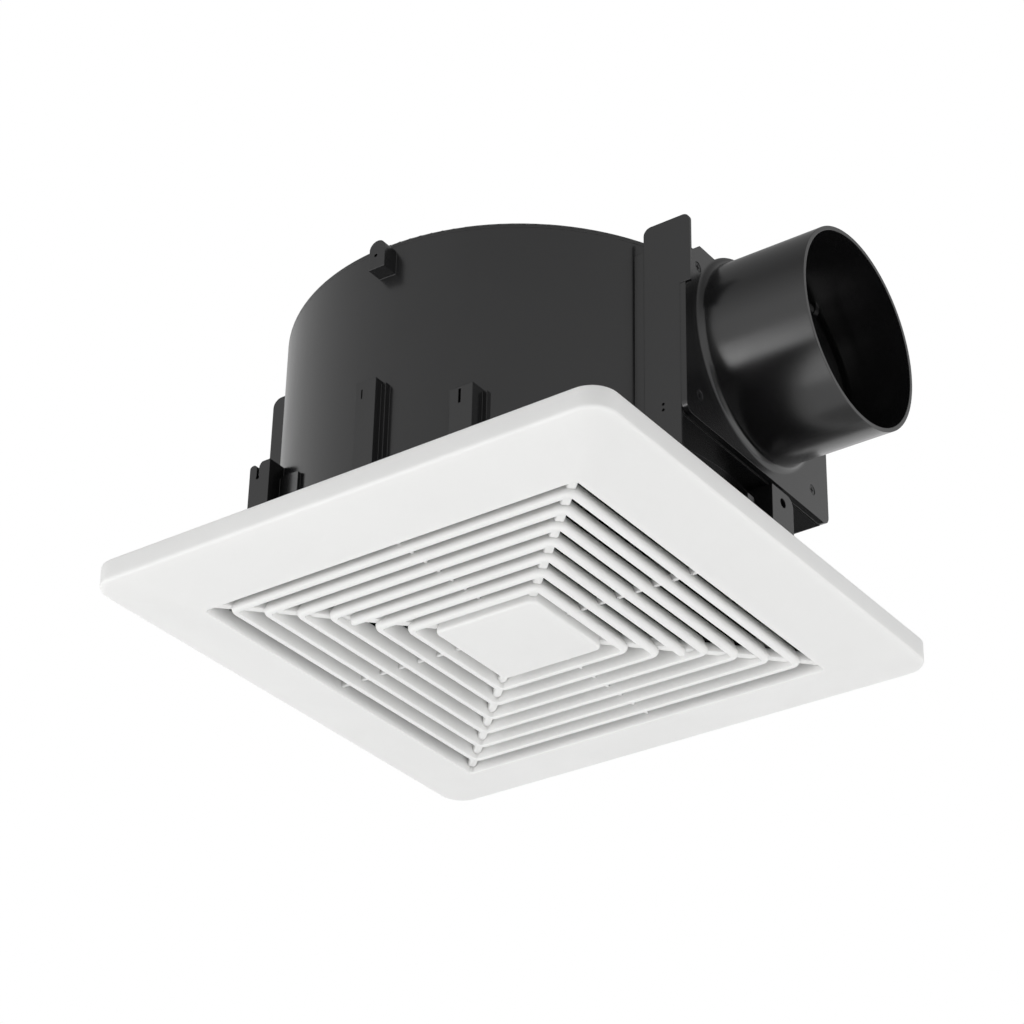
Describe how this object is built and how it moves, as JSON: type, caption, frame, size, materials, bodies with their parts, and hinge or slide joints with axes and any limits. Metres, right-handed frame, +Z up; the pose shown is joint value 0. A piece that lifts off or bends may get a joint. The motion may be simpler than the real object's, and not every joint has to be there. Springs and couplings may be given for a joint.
{
  "type": "ceiling exhaust fan",
  "caption": "Ceiling exhaust fan: round black housing with centrifugal impeller, side duct outlet with damper, and a white square louvred grille that pulls down.",
  "frame": {"origin": "centre of the pattern of ceiling screws, on the flange face that lies against the ceiling", "axes": "+X along the duct outlet, the way the air leaves; +Z up into the ceiling, so the grille hangs below the origin"},
  "size_m": [0.3285, 0.285, 0.161],
  "materials": {
    "white_plastic": "white ABS, fine satin",
    "black_plastic": "black polypropylene, semi-gloss",
    "wheel_plastic": "dark grey glass-filled plastic",
    "galvanised_steel": "galvanised sheet",
    "bright_steel": "ground steel",
    "spring_steel": "drawn spring wire",
    "zinc": "zinc plated",
    "blackened_steel": "blackened steel",
    "core_steel": "stacked laminations",
    "copper": "enamelled copper wire",
    "rubber": "black rubber",
    "foam": "dark grey foam",
    "cable_pvc": "dark grey sleeve",
    "fuse_body": "off-white ceramic",
    "terminal_plastic": "off-white nylon",
    "capacitor_can": "white plastic can"
  },
  "bodies": {
    "housing": {"casing": "black_plastic", "top_cover": "black_plastic", "cover_screws": "zinc", "inlet_ring": "black_plastic", "inlet_ring_screws": "zinc", "scroll_wall": "black_plastic", "stator_core": "core_steel", "stator_winding": "copper", "motor_upper_shell": "galvanised_steel", "motor_lower_shell": "galvanised_steel", "upper_bearing": "bright_steel", "lower_bearing": "bright_steel", "motor_grommets": "rubber", "motor_screws": "zinc", "thermal_fuse": "fuse_body", "motor_lead": "cable_pvc", "lead_grommet": "rubber", "terminal_block": "terminal_plastic", "capacitor": "capacitor_can", "terminal_cover": "black_plastic", "terminal_cover_screws": "zinc", "cable_bush": "rubber", "side_bracket": "black_plastic", "duct_adaptor": "black_plastic", "adaptor_gasket": "foam", "adaptor_screws": "blackened_steel", "damper_pin": "bright_steel"},
    "grille": {"grille": "white_plastic", "spring_front": "spring_steel", "spring_rear": "spring_steel"},
    "impeller": {"impeller": "wheel_plastic", "impeller_insert": "zinc", "impeller_nut": "zinc", "motor_shaft": "bright_steel", "rotor_core": "core_steel"},
    "damper": {"damper_flap": "black_plastic", "damper_seal": "foam"}
  },
  "joints": [
    {"name": "grille_drop", "type": "slide", "parent": "housing", "child": "grille", "axis": [0, 0, -1], "range_m": [0, 0.04]},
    {"name": "impeller_spin", "type": "hinge", "parent": "housing", "child": "impeller", "pos_m": [0, 0, 0.09], "axis": [0, 0, 1], "continuous": true},
    {"name": "damper_swing", "type": "hinge", "parent": "housing", "child": "damper", "pos_m": [0.148, 0.003, 0.128], "axis": [0, -1, 0], "range_deg": [0, 40]}
  ]
}
